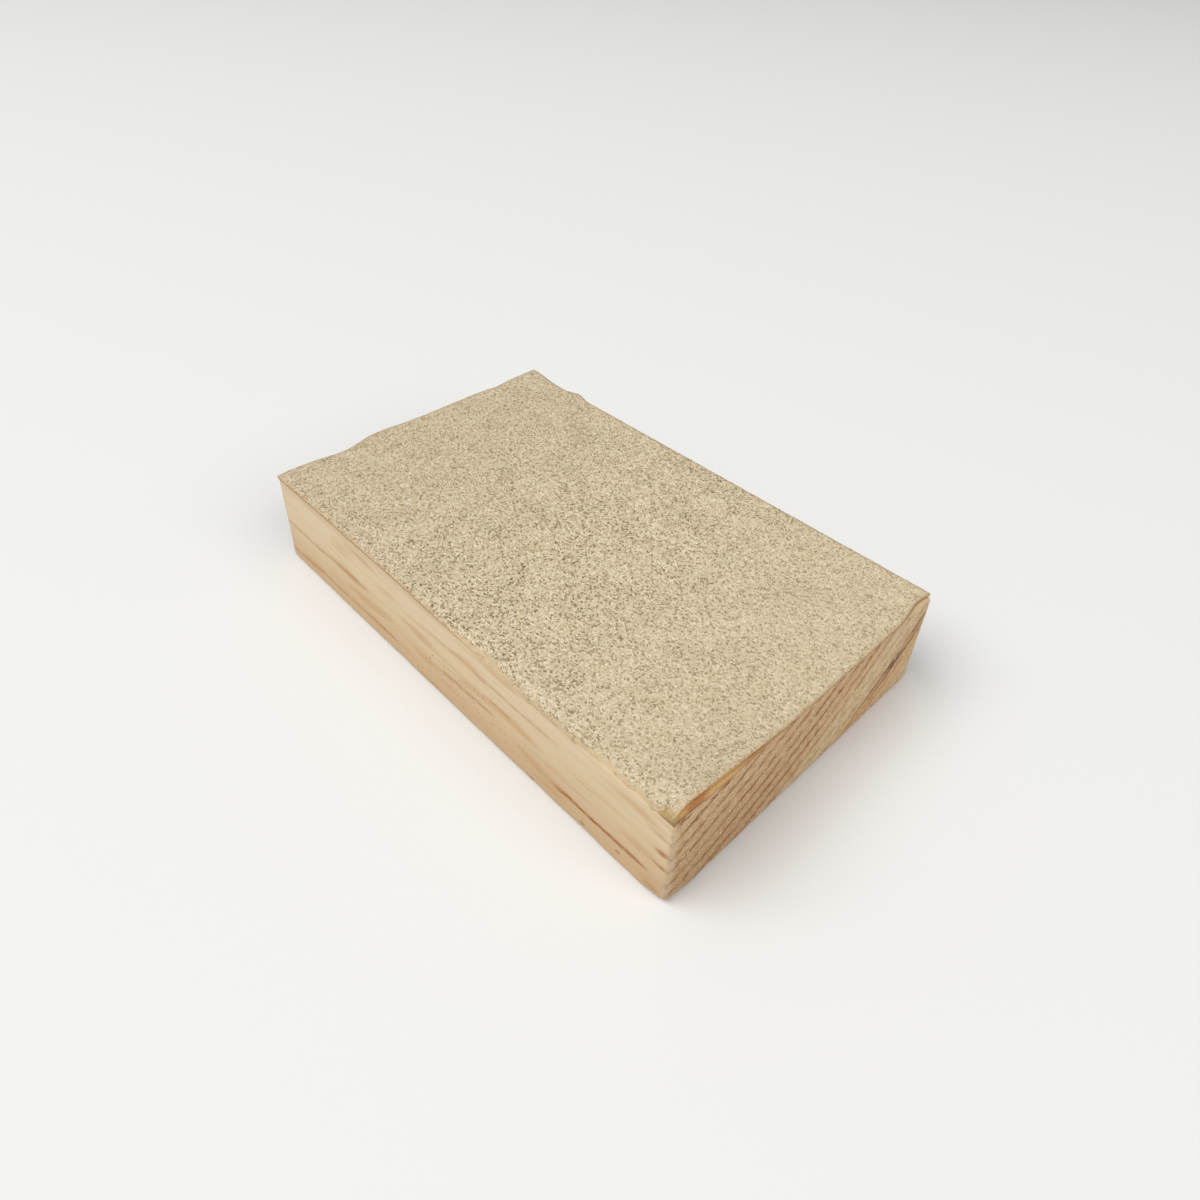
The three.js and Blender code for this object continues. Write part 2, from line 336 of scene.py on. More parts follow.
class Finish:
    """One material's node tree. Each method adds a node and returns its useful output."""

    def __init__(self, name, roughness=0.7, specular=0.3):
        self.material = bpy.data.materials.new(name)
        self.material.use_nodes = True
        self.tree = self.material.node_tree
        self.tree.nodes.clear()
        self.shader = self.node("ShaderNodeBsdfPrincipled")
        self.shader.inputs["Roughness"].default_value = roughness
        self.shader.inputs["Specular IOR Level"].default_value = specular
        output = self.node("ShaderNodeOutputMaterial")
        self.tree.links.new(self.shader.outputs[0], output.inputs["Surface"])

    def node(self, kind, **settings):
        made = self.tree.nodes.new(kind)
        for key, value in settings.items():
            setattr(made, key, value)
        return made

    def feed(self, socket, value):
        """Links a socket to another node's output, or sets it to a plain value."""
        if isinstance(value, bpy.types.NodeSocket):
            self.tree.links.new(value, socket)
        else:
            socket.default_value = value

    def position(self, stretch=(1, 1, 1)):
        """The place on the object in mm, multiplied along each axis."""
        place = self.node("ShaderNodeTexCoord").outputs["Object"]
        multiply = self.node("ShaderNodeVectorMath", operation="MULTIPLY")
        self.feed(multiply.inputs[0], place)
        multiply.inputs[1].default_value = [axis / MM for axis in stretch]
        return multiply.outputs[0]

    def axes(self):
        """X, Y and Z of the place on the object in mm."""
        split = self.node("ShaderNodeSeparateXYZ")
        self.feed(split.inputs[0], self.position())
        return split.outputs

    def distance(self, vector, place):
        made = self.node("ShaderNodeVectorMath", operation="DISTANCE")
        self.feed(made.inputs[0], vector)
        made.inputs[1].default_value = place
        return made.outputs["Value"]

    def stored(self, name):
        return self.node("ShaderNodeAttribute", attribute_name=name).outputs["Fac"]

    def vector(self, x, y, z):
        made = self.node("ShaderNodeCombineXYZ")
        for socket, value in zip(made.inputs, (x, y, z)):
            self.feed(socket, value)
        return made.outputs[0]

    def scaled(self, value, factor):
        return self.math("MULTIPLY", value, factor)

    def math(self, operation, a, b=0.0, clamp=False):
        made = self.node("ShaderNodeMath", operation=operation, use_clamp=clamp)
        self.feed(made.inputs[0], a)
        self.feed(made.inputs[1], b)
        return made.outputs[0]

    def step(self, value, low, high, start=0.0, end=1.0):
        """start below low, end above high, and a smooth change between."""
        made = self.node("ShaderNodeMapRange", interpolation_type="SMOOTHSTEP")
        for socket, given in zip(made.inputs, (value, low, high, start, end)):
            self.feed(socket, given)
        return made.outputs[0]

    def noise(self, vector, scale, detail=2.0, roughness=0.5):
        made = self.node("ShaderNodeTexNoise")
        self.feed(made.inputs["Vector"], vector)
        made.inputs["Scale"].default_value = scale
        made.inputs["Detail"].default_value = detail
        made.inputs["Roughness"].default_value = roughness
        return made.outputs["Fac"]

    def cells(self, vector, scale, feature="F1"):
        made = self.node("ShaderNodeTexVoronoi", feature=feature)
        self.feed(made.inputs["Vector"], vector)
        made.inputs["Scale"].default_value = scale
        return made.outputs

    def ramp(self, value, stops, interpolation="LINEAR"):
        made = self.node("ShaderNodeValToRGB")
        made.color_ramp.interpolation = interpolation
        elements = made.color_ramp.elements
        while len(elements) < len(stops):
            elements.new(0.5)
        for element, (place, colour) in zip(elements, stops):
            element.position = place
            element.color = colour
        self.feed(made.inputs[0], value)
        return made.outputs[0]

    def blend(self, factor, a, b, mode="MIX"):
        made = self.node("ShaderNodeMix", data_type="RGBA", blend_type=mode)
        self.feed(made.inputs[0], factor)
        self.feed(made.inputs[6], a)
        self.feed(made.inputs[7], b)
        return made.outputs[2]

    def bump(self, height, distance, strength=1.0, under=None):
        """distance is the height in mm that a value of 1 stands for."""
        made = self.node("ShaderNodeBump")
        made.inputs["Strength"].default_value = strength
        made.inputs["Distance"].default_value = distance * MM
        self.feed(made.inputs["Height"], height)
        if under is not None:
            self.feed(made.inputs["Normal"], under)
        return made.outputs[0]

    def colour(self, value):
        self.feed(self.shader.inputs["Base Color"], value)

    def roughness(self, value):
        self.feed(self.shader.inputs["Roughness"], value)

    def normal(self, value):
        self.feed(self.shader.inputs["Normal"], value)


# ---------------------------------------------------------------- materials

def latewood_lines(finish, radius):
    """1 in the dark line that ends each year."""
    ragged = finish.noise(finish.position((0.08, 1, 1)), 1.1, detail=3, roughness=0.7)
    radius = finish.math("ADD", radius, finish.step(ragged, 0.25, 0.75, -0.35, 0.35))
    since_first = finish.math("SUBTRACT", radius, FIRST_RING)
    year = finish.math("FRACT", finish.math("DIVIDE", since_first, RING_SPACING))
    before = finish.step(year, 0.66, 0.92)
    after = finish.step(year, 0.03, 0.18, 1.0, 0.0)
    return finish.math("MAXIMUM", before, after)


def dark_pair(finish, radius, along_ring, y, z):
    """The two darkest lines: faint where they are low, and run together in one dark patch."""
    off_centre = finish.math("ABSOLUTE", finish.math("SUBTRACT", radius, DARK_RINGS))
    off_line = finish.math("ABSOLUTE", finish.math("SUBTRACT", off_centre, DARK_PAIR_HALF_GAP))
    lines = finish.step(off_line, 0.15, 0.6, 0.9, 0.0)
    stretches = finish.noise(along_ring, 1.1, detail=3, roughness=0.6)
    lines = finish.math("MULTIPLY", lines, finish.step(stretches, 0.35, 0.55, 0.3, 1.0))
    lines = finish.math("MULTIPLY", lines, finish.step(y, 8, 20, 0.3, 1.0))
    lines = finish.math("MULTIPLY", lines, finish.step(z, 2, 7, 0.25, 1.0))

    from_patch = finish.distance(finish.vector(0.0, y, z), (0, *DARK_PATCH))
    joined = finish.step(off_centre, 0.7, 1.3, 1.0, 0.0)
    joined = finish.math("MULTIPLY", joined, finish.step(from_patch, 1.0, 3.6, 0.9, 0.0))
    joined = finish.math("MULTIPLY", joined, finish.step(stretches, 0.3, 0.5, 0.4, 1.0))
    return finish.math("MAXIMUM", lines, joined)


def long_grain(finish, radius, late):
    """Colour of the planed faces: smooth and pale, with the rings showing only in stretches."""
    wood = finish.ramp(finish.step(radius, FIRST_RING - 2, LOWER_EDGE_RING), [
        (0.0, srgb(221, 200, 168)),
        (0.45, srgb(215, 191, 155)),
        (1.0, srgb(200, 170, 131)),
    ])
    fibres = finish.noise(finish.position((0.05, 1, 1)), 2.2, detail=4, roughness=0.6)
    wood = finish.blend(finish.step(fibres, 0.4, 0.8, 0.0, 0.3), wood, srgb(194, 158, 116))

    # Broad soft tan patches, a few centimetres long.
    patches = finish.noise(finish.position((0.06, 0.35, 0.35)), 1.0, detail=1)
    patches = finish.scaled(finish.step(patches, 0.5, 0.7), 0.5)
    wood = finish.blend(patches, wood, srgb(192, 150, 100))

    # Here and there a ring shows as a soft tan line, and in a few places as a clear orange one.
    stretches = finish.noise(finish.position((0.04, 0.4, 0.4)), 1.3, detail=1)
    shown = finish.step(stretches, 0.56, 0.72, 0.0, 0.3)
    wood = finish.blend(finish.math("MULTIPLY", late, shown), wood, srgb(180, 138, 88))
    broken = finish.noise(finish.position((0.5, 1, 1)), 1.2, detail=3, roughness=0.6)
    broken = finish.step(broken, 0.3, 0.55, 0.35, 1.0)
    orange = finish.math("MULTIPLY", finish.step(late, 0.55, 1.0), finish.stored("shown"))
    wood = finish.blend(finish.math("MULTIPLY", orange, broken), wood, srgb(162, 104, 54))

    # Resin canals: short thin dark dashes, crowded in the middle of the length.
    x, _, z = finish.axes()
    crowded = finish.step(finish.math("ABSOLUTE", x), 10, 32, 0.9, 0.15)
    canal = finish.cells(finish.position((0.45, 1, 1)), 1.9)["Distance"]
    canal = finish.math("MULTIPLY", finish.step(canal, 0.1, 0.26, 1.0, 0.0), crowded)
    canal = finish.math("MULTIPLY", canal, finish.step(z, 6, 14, 1.0, 0.2))
    somewhere = finish.noise(finish.position((0.3, 1, 1)), 0.5, detail=1)
    canal = finish.math("MULTIPLY", canal, finish.step(somewhere, 0.38, 0.55))
    wood = finish.blend(canal, wood, srgb(134, 90, 52))

    # The long faces are painted darker in a band just under the top arris.
    near_top = finish.step(z, WOOD_TOP - 1.85, WOOD_TOP - 0.65, 0.0, 0.5)
    wood = finish.blend(near_top, wood, srgb(196, 172, 138))

    for x, z in FLECKS:
        away = finish.distance(finish.position((0.6, 1, 1)), (0.6 * x, -HALF_WIDTH, z))
        wood = finish.blend(finish.step(away, 0.15, 0.45, 0.6, 0.0), wood, srgb(126, 94, 64))
    return wood


def end_grain(finish, radius, late):
    """Colour of the sawn ends: browner, with every ring showing as a broken red-brown line."""
    wood = finish.ramp(finish.step(radius, FIRST_RING - 3, LAST_RING), [
        (0.0, srgb(218, 186, 142)),
        (0.15, srgb(215, 182, 138)),
        (0.48, srgb(211, 176, 131)),
        (0.56, srgb(216, 183, 139)),
        (0.64, srgb(220, 197, 158)),
        (0.74, srgb(218, 194, 155)),
        (0.86, srgb(211, 166, 113)),
        (1.0, srgb(222, 195, 154)),
    ])
    _, y, z = finish.axes()

    # Painted shade: the end is darker towards its lower part and the -Y side.
    darkened = finish.math("MULTIPLY", finish.step(y, -22, 14, 0.34, 0.0), finish.step(z, 4, 19, 1.0, 0.2))
    wood = finish.blend(darkened, wood, srgb(146, 106, 66))

    around = finish.stored("around_mm")
    along_ring = finish.vector(finish.scaled(radius, 0.9), finish.scaled(around, 0.22), 0.0)
    fine = finish.noise(along_ring, 3.0, detail=4, roughness=0.7)
    wood = finish.blend(finish.step(fine, 0.42, 0.68, 0.0, 0.75), wood, srgb(166, 120, 78))

    # The rings' lines are made of short dashes, some of them much darker than others.
    broken = finish.noise(along_ring, 1.5, detail=3, roughness=0.65)
    broken = finish.step(broken, 0.36, 0.6, 0.2, 1.0)
    fading = finish.step(radius, DARK_RINGS - 12, DARK_RINGS - 7, 1.0, 0.35)
    line = finish.math("MULTIPLY", finish.math("MULTIPLY", late, broken), fading)
    wood = finish.blend(line, wood, srgb(144, 89, 52))
    wood = finish.blend(dark_pair(finish, radius, along_ring, y, z), wood, srgb(104, 74, 48))

    # Torn fibre tips catch the light, open pores are dark, and here and there a fleck is white.
    tips = finish.noise(finish.position(), 3.2, detail=3, roughness=0.75)
    wood = finish.blend(finish.step(tips, 0.56, 0.68, 0.0, 0.75), wood, srgb(232, 210, 174))
    wood = finish.blend(finish.step(tips, 0.33, 0.45, 0.6, 0.0), wood, srgb(136, 94, 58))
    white = finish.cells(finish.position((1, 1.4, 0.8)), 0.36)["Distance"]
    wood = finish.blend(finish.step(white, 0.05, 0.16, 0.6, 0.0), wood, srgb(234, 214, 180))

    # Painted highlight: the ends are paler along the upright arrises.
    from_arris = finish.math("SUBTRACT", HALF_WIDTH, finish.math("ABSOLUTE", y))
    return finish.blend(finish.step(from_arris, 0.2, 1.8, 0.5, 0.0), wood, srgb(214, 193, 162))


def pine_finish():
    """Planed pine: growth rings run through the solid, and the sawn ends are browner and rougher."""
    finish = Finish("pine", specular=0.25)
    radius = finish.stored("ring_mm")
    end = finish.stored("end_grain")
    late = latewood_lines(finish, radius)
    finish.colour(finish.blend(end, long_grain(finish, radius, late), end_grain(finish, radius, late)))

    fibres = finish.noise(finish.position((0.05, 1, 1)), 7.0, detail=3)
    finish.roughness(finish.step(fibres, 0.2, 0.8, 0.52, 0.76))
    relief = finish.bump(fibres, 0.05, strength=0.6)
    torn = finish.noise(finish.position(), 3.6, detail=3, roughness=0.7)
    finish.normal(finish.bump(finish.math("MULTIPLY", torn, end), 0.22, strength=0.7, under=relief))
    return finish.material


def grit_colours(finish, value):
    """Crushed mineral: mostly cream and sand, with brown and grey grains among them."""
    return finish.ramp(value, [
        (0.0, srgb(104, 94, 70)),
        (0.07, srgb(138, 118, 86)),
        (0.2, srgb(174, 156, 123)),
        (0.4, srgb(204, 188, 155)),
        (0.75, srgb(219, 204, 172)),
        (1.0, srgb(234, 224, 202)),
    ])


GRAINS_PER_MM = 3.4
DUST = 0.34  # how thickly wood dust covers the most worn end
DUST_COLOUR = (207, 190, 158)


def grit_finish():
    """The bed of grains, sized with pale resin, with worn places where the resin and paper show."""
    finish = Finish("abrasive_grit", roughness=0.8, specular=0.3)
    place = finish.position()
    grain = finish.cells(place, GRAINS_PER_MM)
    tone = finish.node("ShaderNodeSeparateColor")
    finish.feed(tone.inputs[0], grain["Color"])

    # Clouds a few mm wide where slightly more of the grains are dark.
    clouds = finish.noise(place, 0.16, detail=3, roughness=0.6)
    value = finish.math("ADD", tone.outputs[0], finish.step(clouds, 0.3, 0.7, 0.06, -0.05))
    surface = grit_colours(finish, value)

    # Painted shade in the crevices between grains: each grain darkens towards its edge.
    gap = finish.cells(place, GRAINS_PER_MM, feature="DISTANCE_TO_EDGE")["Distance"]
    surface = finish.blend(finish.step(gap, 0.0, 0.16, 0.35, 0.0), surface, srgb(152, 128, 92))
    surface = finish.blend(finish.step(clouds, 0.5, 0.72, 0.0, 0.12), surface, srgb(170, 164, 136))

    # Towards the end away from the loose corner the grit is painted slightly darker and duller.
    x = finish.axes()[0]
    surface = finish.blend(finish.step(x, -48, 10, 0.26, 0.0), surface, srgb(184, 167, 137))

    # The end with the loose corner has done most of the work, and is loaded with pale wood dust.
    surface = finish.blend(finish.step(x, 0, HALF_LENGTH, 0.0, DUST), surface, srgb(*DUST_COLOUR))

    # Cut edges are browner. Towards the rubbed edge the last grains sit in peach resin, and
    # the edge itself is bare paper, as pale as the wood.
    mottle = finish.noise(place, 0.8, detail=3)
    rubbed = finish.stored("rubbed")
    surface = finish.blend(finish.scaled(finish.stored("rim"), 0.4), surface, srgb(188, 150, 106))
    peach = finish.ramp(mottle, [(0.35, srgb(202, 177, 138)), (0.6, srgb(200, 180, 146))])
    surface = finish.blend(finish.step(rubbed, 0.2, 0.6), surface, peach)
    surface = finish.blend(finish.step(rubbed, 0.5, 0.95), surface, srgb(204, 183, 149))

    # The cracked-off triangle is olive and still gritty.
    gritty = finish.noise(place, 2.6, detail=3, roughness=0.7)
    cracked = finish.ramp(gritty, [
        (0.36, srgb(160, 130, 84)),
        (0.5, srgb(188, 160, 112)),
        (0.64, srgb(208, 184, 138)),
    ])
    surface = finish.blend(finish.step(finish.stored("bare"), 0.1, 0.7), surface, cracked)
    finish.colour(surface)

    finish.roughness(finish.step(tone.outputs[1], 0.0, 1.0, 0.55, 0.9))
    whole = finish.math("SUBTRACT", 1.0, rubbed)
    facets = finish.math("MULTIPLY", finish.step(gap, 0.0, 0.3), whole)
    relief = finish.bump(facets, 0.06, strength=0.7)
    fine = finish.math("MULTIPLY", finish.noise(place, 7.0, detail=3, roughness=0.7), whole)
    finish.normal(finish.bump(fine, 0.06, strength=0.6, under=relief))
    return finish.material


def grain_finish():
    """The separate proud grains: each has a tone of its own."""
    finish = Finish("proud_grains", roughness=0.5, specular=0.45)
    dusty = finish.step(finish.axes()[0], 0, HALF_LENGTH, 0.0, DUST)
    finish.colour(finish.blend(dusty, grit_colours(finish, finish.stored("tone")), srgb(*DUST_COLOUR)))
    chips = finish.noise(finish.position(), 5.0, detail=2)
    finish.roughness(finish.step(chips, 0.3, 0.7, 0.35, 0.7))
    finish.normal(finish.bump(chips, 0.05, strength=0.5))
    return finish.material


AMBER_RUN = 20.0  # distance along the +X edge over which the dried glue is seen


def amber_and_gap_shade(finish, noise):
    """Dried glue along the loose corner, by the distance from the -Y side: amber where its face is lit, and
    deep orange where the gap under the corner is deepest, which is painted shade warmed by bounce light.
    """
    wavering = finish.math("ADD", finish.axes()[1], finish.step(noise, 0.3, 0.7, -0.5, 0.5))
    return finish.ramp(finish.math("DIVIDE", finish.math("ADD", wavering, HALF_WIDTH), AMBER_RUN), [
        (0.0, srgb(172, 146, 98)),
        (0.02, srgb(178, 150, 98)),
        (0.05, srgb(196, 152, 86)),
        (0.11, srgb(190, 140, 72)),
        # Painted shade of the gap under the loose corner, warmed by bounce light: these two stops and the
        # one at 0.8.
        (0.17, srgb(174, 110, 48)),
        (0.26, srgb(176, 112, 52)),
        (0.34, srgb(204, 158, 92)),
        (0.6, srgb(204, 160, 98)),
        (0.8, srgb(178, 120, 66)),
        (1.0, srgb(180, 138, 88)),
    ])


def paper_finish():
    """Heavy kraft paper: dull brown along its cut, partly painted shade of the thin shadow line under the
    sheet's edge; rubbed pale on the worn arris, amber where it is loose, with painted shade of the gap
    there.
    """
    finish = Finish("backing_paper", roughness=0.8, specular=0.2)
    fibres = finish.noise(finish.position((1, 1, 3)), 2.2, detail=4, roughness=0.65)
    # The cut's brown is partly the kraft's own colour and partly painted shade under the sheet's edge.
    cut = finish.ramp(fibres, [(0.3, srgb(158, 132, 94)), (0.7, srgb(192, 166, 124))])
    cut = finish.blend(finish.stored("rubbed"), cut, srgb(204, 182, 146))
    paper = finish.blend(finish.stored("loose"), cut, amber_and_gap_shade(finish, fibres))
    finish.colour(paper)
    finish.normal(finish.bump(fibres, 0.08, strength=0.6))
    return finish.material


def resin_finish():
    """Cured make coat, peach to straw, and soiled olive at the loose corner."""
    finish = Finish("bond_resin", roughness=0.5, specular=0.4)
    patches = finish.noise(finish.position(), 1.1, detail=3)
    resin = finish.ramp(patches, [(0.3, srgb(186, 160, 120)), (0.6, srgb(204, 182, 144))])
    darkened = finish.ramp(patches, [(0.3, srgb(160, 132, 86)), (0.6, srgb(184, 158, 110))])
    finish.colour(finish.blend(finish.stored("loose"), resin, darkened))
    finish.normal(finish.bump(patches, 0.06, strength=0.5))
    return finish.material


def glue_finish():
    """Dried adhesive: amber and slightly glossy, with painted shade of the gap under the loose corner in its
    deep orange.
    """
    finish = Finish("glue", specular=0.4)
    strings = finish.noise(finish.position((0.4, 1, 1)), 1.3, detail=3)
    finish.colour(amber_and_gap_shade(finish, strings))
    finish.roughness(finish.step(strings, 0.3, 0.7, 0.35, 0.6))
    finish.normal(finish.bump(strings, 0.1, strength=0.6))
    return finish.material


# ---------------------------------------------------------------- pieces

WOOD_STEP = 0.5
CORNER_STEPS = 4
LONG_SIDE_STEPS = int(2 * HALF_LENGTH / WOOD_STEP)
SHORT_SIDE_STEPS = int(2 * HALF_WIDTH / WOOD_STEP)


def block_ring(inset, z, radius):
    """One level ring of the block: a rectangle drawn in by inset, with round corners."""
    centre_x = HALF_LENGTH - inset - radius
    centre_y = HALF_WIDTH - inset - radius
    corners = [(centre_x, centre_y), (-centre_x, centre_y), (-centre_x, -centre_y), (centre_x, -centre_y)]
    arcs = []
    for quarter, (x, y) in enumerate(corners):
        angles = np.linspace(quarter, quarter + 1, CORNER_STEPS + 1) * math.pi / 2
        arcs.append(np.stack([x + radius * np.cos(angles), y + radius * np.sin(angles)], axis=-1))
    ring = []
    for quarter, arc in enumerate(arcs):
        steps = LONG_SIDE_STEPS if quarter % 2 == 0 else SHORT_SIDE_STEPS
        along = np.linspace(0, 1, steps + 1)[1:-1, None]
        following = arcs[(quarter + 1) % 4][0]
        ring += [arc, arc[-1] + (following - arc[-1]) * along]
    ring = np.concatenate(ring)
    return np.column_stack([ring, np.full(len(ring), z)])


def rounded_edge(radius, steps):
    """(inset, distance from the level face) for rings that turn a quarter round an edge."""
    turns = np.linspace(0, math.pi / 2, steps + 1)
    return [(radius * (1 - math.sin(turn)), radius * (1 - math.cos(turn))) for turn in turns]


def block_rings():
    """Rings of points over the whole block, from the middle of its base to the middle of its top."""
    # Across the base, and back across the top, from near the middle to just inside the edges.
    inner_insets = list(spread(27, 1.5, 2.2))
    rings = [block_ring(inset, 0, PLAN_CORNER_RADIUS) for inset in inner_insets]
    for inset, rise in rounded_edge(BASE_EDGE_RADIUS, 5):
        rings.append(block_ring(inset, rise, PLAN_CORNER_RADIUS + inset))
    for z in spread(BASE_EDGE_RADIUS, WOOD_TOP - TOP_EDGE_RADIUS, WOOD_STEP)[1:-1]:
        rings.append(block_ring(0, z, PLAN_CORNER_RADIUS))
    for inset, drop in reversed(rounded_edge(TOP_EDGE_RADIUS, 3)):
        rings.append(block_ring(inset, WOOD_TOP - drop, PLAN_CORNER_RADIUS + inset))
    for inset in (0.8, 1.2, ARRIS_REACH, *inner_insets[::-1][1:]):
        rings.append(block_ring(inset, WOOD_TOP, PLAN_CORNER_RADIUS))
    return rings


def wear_wood(points):
    """The knocked corner, the worn arris and small dents along every edge."""
    x, y, z = points.T
    points[:, 2] -= arris_droop(x, y) * smoothstep(z, WOOD_TOP / 3, WOOD_TOP)
    away = np.linalg.norm(points - KNOCKED_CORNER, axis=1)
    loss = np.clip(1 - (away / KNOCKED_REACH) ** 2, 0, 1) ** 2
    points += loss[:, None] * np.array([-KNOCKED_INSET, KNOCKED_INSET, KNOCKED_RISE])

    to_sides = np.stack([HALF_LENGTH - abs(x), HALF_WIDTH - abs(y), z], axis=-1)
    second_nearest = np.sort(to_sides, axis=1)[:, 1]
    on_edge = 1 - smoothstep(second_nearest, 0.2, 1.6)
    dents = np.clip(smooth_noise(points, 4, seed=21) + 0.5 * smooth_noise(points, 1.4, seed=22), 0, 1)
    inward = np.sign(np.array([0, 0, WOOD_TOP / 2]) - points)
    depth = np.where(z < WOOD_TOP / 2, 0.09, 0.04) * on_edge * dents
    moved = points + depth[:, None] * inward
    moved[:, 2] = np.where(z < 1e-6, points[:, 2], moved[:, 2])
    return moved


def saw_ends(points, end_grain):
    """Relief of the sawn ends: rings stand proud, fibres are torn and the saw left faint ridges."""
    x, y, z = points.T
    rings_stand = 0.03 * latewood(from_pith(points)[0])
    torn = 0.035 * smooth_noise(points, 0.9, seed=31)
    saw_ridges = 0.02 * np.sin(2 * math.pi * (y * 0.55 + z * 0.12 + 0.4 * smooth_noise(points, 9, seed=32)))
    points[:, 0] += np.sign(x) * end_grain * (rings_stand + torn + saw_ridges - 0.06)
    return points


def plane_sides(points, end_grain):
    """The planed faces: faint cutter marks and the hard rings barely proud."""
    x, y, z = points.T
    proud = 0.015 * latewood(from_pith(points)[0]) + 0.01 * np.sin(2 * math.pi * x / 2.1) - 0.02
    on_side = (np.abs(y) > HALF_WIDTH - 0.3) * (1 - end_grain)
    points[:, 1] += np.sign(y) * on_side * proud
    return points


def end_share(points):
    """1 on the sawn ends, 0 on the planed sides, the base and the top."""
    x, _, z = points.T
    on_end = smoothstep(np.abs(x), HALF_LENGTH - 0.75, HALF_LENGTH - 0.3)
    on_base_or_top = (z < 0.05) | (z > WOOD_TOP - 0.05)
    return np.where(on_base_or_top, 0, on_end)


def make_block():
    rings = block_rings()
    per_ring = len(rings[0])
    points = wear_wood(np.concatenate(rings))
    end_grain = end_share(points)
    points = plane_sides(saw_ends(points, end_grain), end_grain)

    faces = ring_faces(len(rings), per_ring).tolist()
    last_ring = (len(rings) - 1) * per_ring
    faces.append(list(range(per_ring))[::-1])
    faces.append(list(range(last_ring, last_ring + per_ring)))
    mesh = bpy.data.meshes.new("pine_block")
    mesh.from_pydata((points * MM).tolist(), [], faces)
    mesh.polygons.foreach_set("use_smooth", [True] * len(mesh.polygons))
    block = bpy.data.objects.new("pine_block", mesh)
    bpy.context.scene.collection.objects.link(block)
    radius, around = from_pith(points)
    store(block, "ring_mm", radius)
    store(block, "around_mm", around)
    store(block, "end_grain", end_grain)
    store(block, "shown", line_strength(points, radius))
    return block


def sheet_grid(spacing, jitter=0.0, seed=0):
    """Grid of places over the sheet, before its edges are cut: (x, y) arrays of rows by columns."""
    x, y = np.meshgrid(
        spread(-HALF_LENGTH, HALF_LENGTH, spacing),
        spread(-HALF_WIDTH, HALF_WIDTH, spacing),
    )
    if jitter:
        chance = np.random.default_rng(seed)
        inner = np.zeros_like(x)
        inner[1:-1, 1:-1] = 1
        x = x + inner * chance.uniform(-jitter, jitter, x.shape)
        y = y + inner * chance.uniform(-jitter, jitter, y.shape)
    return x, y


def fray(points, depth, seed):
    """Moves points sideways by up to depth where they lie on the sheet's outer edge."""
    rows, columns = points.shape[:2]
    flat = points.reshape(-1, 3)
    rough = depth * smooth_noise(flat, 0.7, seed).reshape(rows, columns)
    points[0, :, 1] += rough[0]
    points[-1, :, 1] += rough[-1]
    points[:, 0, 0] += rough[:, 0]
    points[:, -1, 0] += rough[:, -1]
    return points


def thinning(x, y, left):
    """What the rubbed edge leaves of a layer's thickness: all of it, down to the share left."""
    return 1 - (1 - left) * rubbed_edge(x, y)


def store_wear(piece, x, y):
    """The sheet's worn places, for a slab's lower and upper points."""
    rim = 1 - smoothstep(edge_distance(x, y), 0.1, 0.9)
    loose = smoothstep(corner_lift(x, y), 0.02, 0.3)
    for name, values in (
        ("rubbed", rubbed_edge(x, y)), ("bare", bare_crease(x, y)), ("rim", rim), ("loose", loose),
    ):
        store(piece, name, np.tile(values.ravel(), 2))


def make_paper():
    x, y = sheet_grid(0.7)
    lower = fray(sheet_points(x, y), 0.07, seed=41)
    upper = lower.copy()
    upper[..., 2] += PAPER_THICKNESS * thinning(x, y, PAPER_LEFT)
    paper = make_mesh("backing_paper", *slab(lower, upper))
    store_wear(paper, x, y)
    return paper


def make_resin():
    x, y = sheet_grid(0.7)
    lower = fray(sheet_points(x, y), 0.05, seed=42)
    lower[..., 2] += PAPER_THICKNESS * thinning(x, y, PAPER_LEFT)
    upper = lower.copy()
    uneven = smooth_noise(lower.reshape(-1, 3), 1.0, seed=43).reshape(x.shape)
    upper[..., 2] += RESIN_THICKNESS * (0.85 + 0.15 * uneven) * thinning(x, y, RESIN_LEFT)
    resin = make_mesh("make_coat", *slab(lower, upper))
    store_wear(resin, x, y)
    return resin


def grit_height(x, y):
    """Height of the bed of grains over the make coat: lumpy, and thin at the cut edges."""
    flat = np.stack([x.ravel(), y.ravel(), 0 * x.ravel()], axis=-1)
    lumps = 0.6 * smooth_noise(flat, 0.45, seed=51) + 0.4 * smooth_noise(flat, 1.1, seed=52)
    near_cut = 1 - smoothstep(edge_distance(x, y), 0.0, 0.7)
    height = GRIT_THICKNESS * (0.74 + 0.26 * lumps.reshape(x.shape)) * (1 - 0.5 * near_cut)
    return height * thinning(x, y, GRIT_LEFT) * (1 - 0.3 * bare_crease(x, y))


def grit_floor(x, y):
    """Points on top of the make coat, where the grains sit."""
    points = sheet_points(x, y)
    points[..., 2] += PAPER_THICKNESS * thinning(x, y, PAPER_LEFT)
    points[..., 2] += RESIN_THICKNESS * thinning(x, y, RESIN_LEFT)
    return points


def make_grit():
    x, y = sheet_grid(0.4, jitter=0.12, seed=5)
    lower = fray(grit_floor(x, y), 0.06, seed=44)
    upper = lower.copy()
    upper[..., 2] += grit_height(x, y)
    grit = make_mesh("grit_bed", *slab(lower, upper))
    store_wear(grit, x, y)
    return grit


# A grain is a three-sided double pyramid, pulled out of shape.
GRAIN_POINTS = np.array([[1, 0, 0], [-0.5, 0.87, 0], [-0.5, -0.87, 0], [0, 0, 1], [0, 0, -1]])
GRAIN_FACES = np.array([[0, 1, 3], [1, 2, 3], [2, 0, 3], [1, 0, 4], [2, 1, 4], [0, 2, 4]])
GRAIN_COUNT = 20000
CHIP_COUNT = 22


